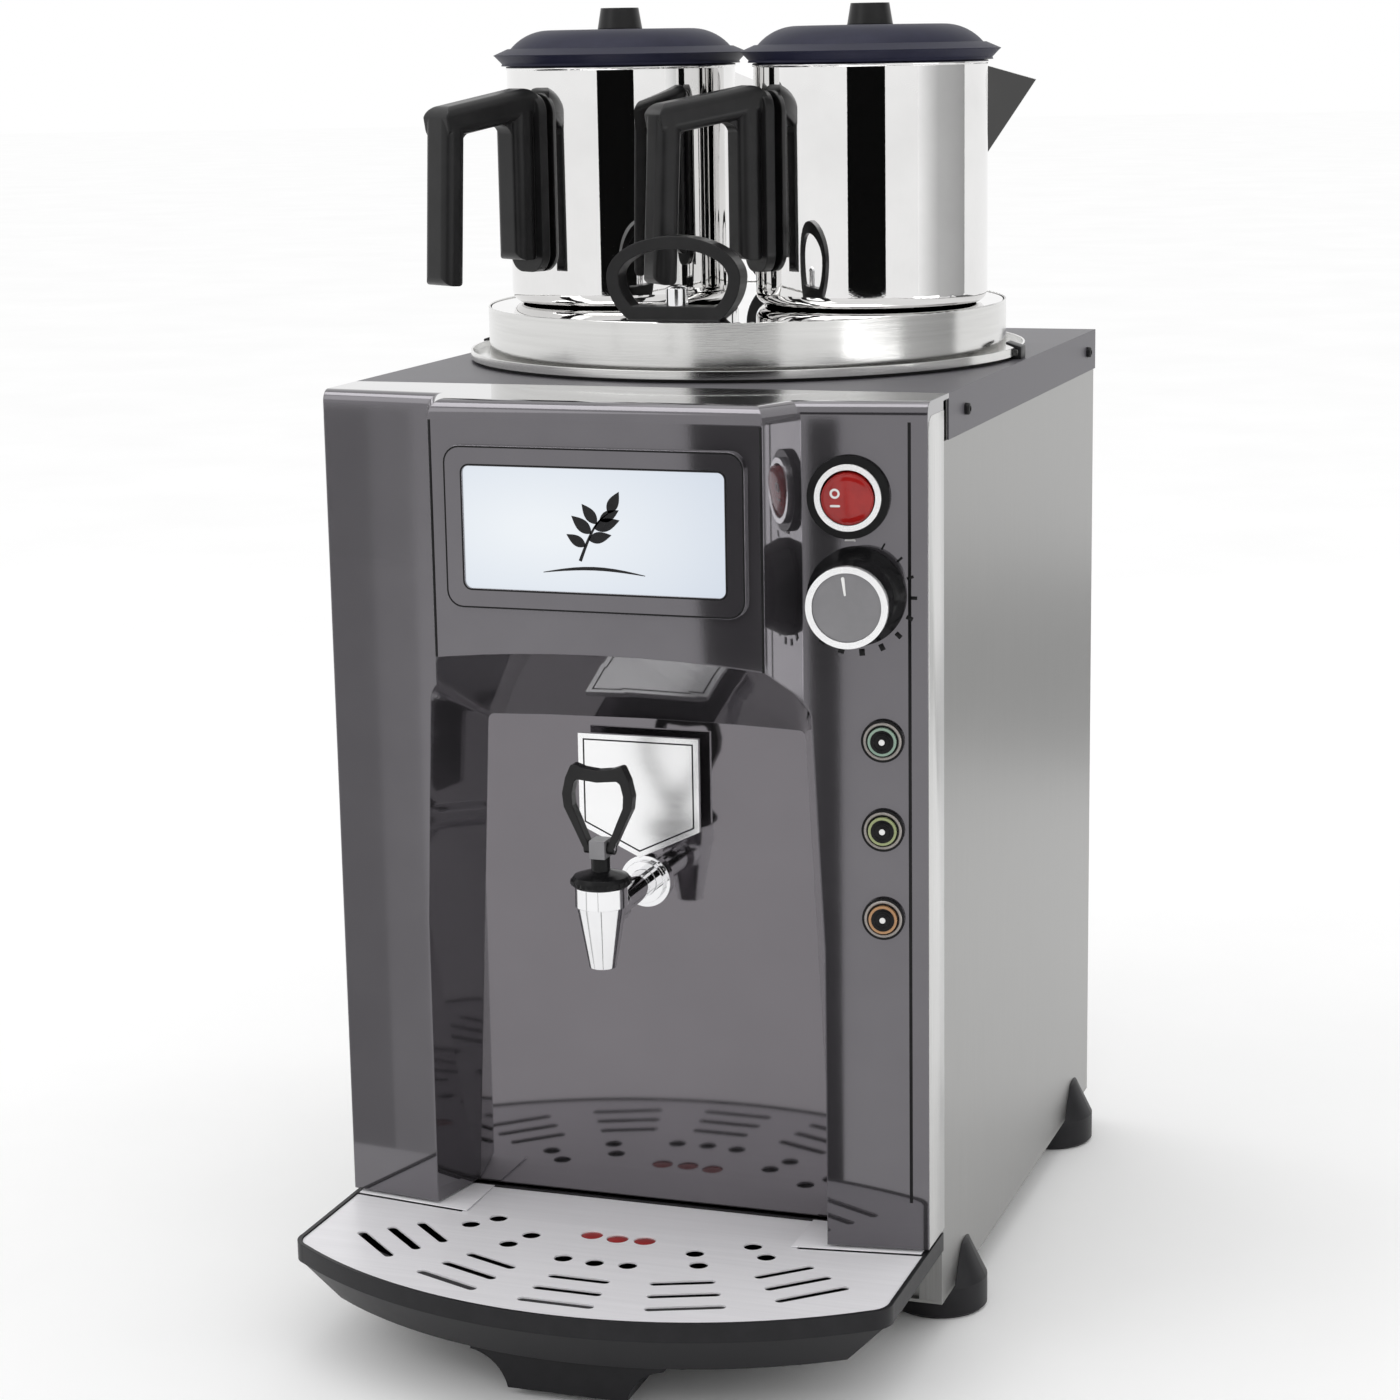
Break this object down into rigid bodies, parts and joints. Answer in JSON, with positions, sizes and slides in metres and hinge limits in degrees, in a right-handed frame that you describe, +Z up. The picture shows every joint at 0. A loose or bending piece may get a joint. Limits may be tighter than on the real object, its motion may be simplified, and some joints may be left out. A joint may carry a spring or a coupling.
{
  "type": "countertop tea maker",
  "caption": "Countertop tea maker: boiler in a steel housing with a lever tap in an arched front niche, a pull-out drip tray and lidded teapots standing on the boiler's lid.",
  "frame": {"origin": "on the floor under the middle of the whole object's bounding box", "axes": "+Z up, -Y towards the tap and screen, +X towards the thermostat column"},
  "size_m": [0.384, 0.599, 0.7682],
  "materials": {
    "fascia_gloss": "glossy metallic smoke grey",
    "tinted_mirror": "dark tinted mirror polish",
    "cover_paint": "glossy metallic smoke grey",
    "side_steel": "brushed along the height",
    "pan_steel": "plain rolled sheet",
    "black_plastic": "fine matte grain",
    "black_metal": "blackened",
    "black_gloss": "glossy moulded",
    "tank_steel": "satin",
    "polished_steel": "mirror polished stainless steel",
    "bakelite": "smooth black bakelite",
    "chrome_plate": "bright plated",
    "element_metal": "dull metal",
    "brass_parts": "machined",
    "rubber_parts": "soft matte",
    "grey_plastic": "satin moulded",
    "screen_glass": "clear gloss over a pale print",
    "white_plastic": "opal diffuser",
    "red_plastic": "translucent red",
    "lamp_green": "translucent pale green",
    "lamp_yellow": "translucent yellow green",
    "lamp_orange": "translucent orange",
    "drip_steel": "polished stainless steel",
    "navy_plastic": "smooth dark blue"
  },
  "bodies": {
    "housing": {"front_fascia": "fascia_gloss", "niche_back_panel": "tinted_mirror", "top_cover": "cover_paint", "side_panel_left": "side_steel", "side_panel_right": "side_steel", "rear_panel": "side_steel", "base_pan": "pan_steel", "corner_feet": "black_plastic", "housing_screws": "black_metal", "cable_gland": "black_gloss", "tap_bonnet": "black_gloss", "switch_body": "black_gloss", "button_bezels": "black_gloss", "button_bodies": "black_gloss", "screen_bezel": "black_gloss", "tank": "tank_steel", "tank_floor": "tank_steel", "tank_collar": "tank_steel", "tap_flange": "chrome_plate", "tap_shank": "chrome_plate", "tap_body": "chrome_plate", "lever_pin": "chrome_plate", "switch_ring": "chrome_plate", "name_plate": "chrome_plate", "heating_element": "element_metal", "thermostat_body": "element_metal", "element_flange": "brass_parts", "temperature_probe": "brass_parts", "outlet_pipe": "brass_parts", "tap_nut": "brass_parts", "tank_seal": "rubber_parts", "lever_yoke": "grey_plastic", "screen_lens": "screen_glass", "light_box": "white_plastic"},
    "tap_handle": {"tap_lever": "bakelite"},
    "tap_valve": {"valve_stem": "element_metal", "seat_cup": "rubber_parts"},
    "thermostat_dial": {"thermostat_shaft": "element_metal", "thermostat_knob": "black_gloss", "knob_ring": "chrome_plate", "knob_face": "grey_plastic"},
    "rocker": {"power_rocker": "red_plastic"},
    "button_upper": {"upper_button": "lamp_green"},
    "button_middle": {"middle_button": "lamp_yellow"},
    "button_lower": {"lower_button": "lamp_orange"},
    "tray": {"drip_tray": "black_plastic"},
    "plate": {"drip_plate": "drip_steel", "cup_marks": "red_plastic"},
    "boiler_lid": {"tank_lid": "polished_steel", "lid_handle_front": "bakelite", "lid_handle_rear": "bakelite", "handle_nuts": "chrome_plate"},
    "pot_left": {"left_pot": "polished_steel", "left_pot_handle": "bakelite"},
    "pot_right": {"right_pot": "polished_steel", "right_pot_handle": "bakelite"},
    "pot_lid_left": {"left_pot_lid": "navy_plastic", "left_lid_knob": "bakelite"},
    "pot_lid_right": {"right_pot_lid": "navy_plastic", "right_lid_knob": "bakelite"}
  },
  "joints": [
    {"name": "tap_lever_pull", "type": "hinge", "parent": "housing", "child": "tap_handle", "pos_m": [0, -0.1925, 0.3035], "axis": [1, 0, 0], "range_deg": [0, 60], "stiffness_Nm_per_rad": 0.4},
    {"name": "valve_lift", "type": "slide", "parent": "housing", "child": "tap_valve", "axis": [0, 0, 1], "range_m": [0, 0.003]},
    {"name": "thermostat_turn", "type": "hinge", "parent": "housing", "child": "thermostat_dial", "pos_m": [0.141, -0.15759, 0.447], "axis": [0.1293, -0.9916, 0], "range_deg": [-270, 0]},
    {"name": "power_rock", "type": "hinge", "parent": "housing", "child": "rocker", "pos_m": [0.13719, -0.1596, 0.502], "axis": [0.9916, 0.1293, 0], "range_deg": [-16, 0]},
    {"name": "upper_press", "type": "slide", "parent": "housing", "child": "button_upper", "axis": [-0.1293, 0.9916, 0], "range_m": [0, 0.002], "stiffness_N_per_m": 300},
    {"name": "middle_press", "type": "slide", "parent": "housing", "child": "button_middle", "axis": [-0.1293, 0.9916, 0], "range_m": [0, 0.002], "stiffness_N_per_m": 300},
    {"name": "lower_press", "type": "slide", "parent": "housing", "child": "button_lower", "axis": [-0.1293, 0.9916, 0], "range_m": [0, 0.002], "stiffness_N_per_m": 300},
    {"name": "tray_pull", "type": "slide", "parent": "housing", "child": "tray", "axis": [0, -1, 0], "range_m": [0, 0.16]},
    {"name": "plate_lift", "type": "slide", "parent": "tray", "child": "plate", "axis": [0, 0, 1], "range_m": [0, 0.06]},
    {"name": "boiler_lid_lift", "type": "slide", "parent": "housing", "child": "boiler_lid", "axis": [0, 0, 1], "range_m": [0, 0.15]},
    {"name": "left_pot_lift", "type": "slide", "parent": "boiler_lid", "child": "pot_left", "axis": [0, 0, 1], "range_m": [0, 0.2]},
    {"name": "right_pot_lift", "type": "slide", "parent": "boiler_lid", "child": "pot_right", "axis": [0, 0, 1], "range_m": [0, 0.2]},
    {"name": "left_pot_lid_lift", "type": "slide", "parent": "pot_left", "child": "pot_lid_left", "axis": [0, 0, 1], "range_m": [0, 0.1]},
    {"name": "right_pot_lid_lift", "type": "slide", "parent": "pot_right", "child": "pot_lid_right", "axis": [0, 0, 1], "range_m": [0, 0.1]}
  ],
  "couplings": [
    {"joint": "tap_lever_pull", "follows": "valve_lift", "rad_per_m": 349.06}
  ]
}
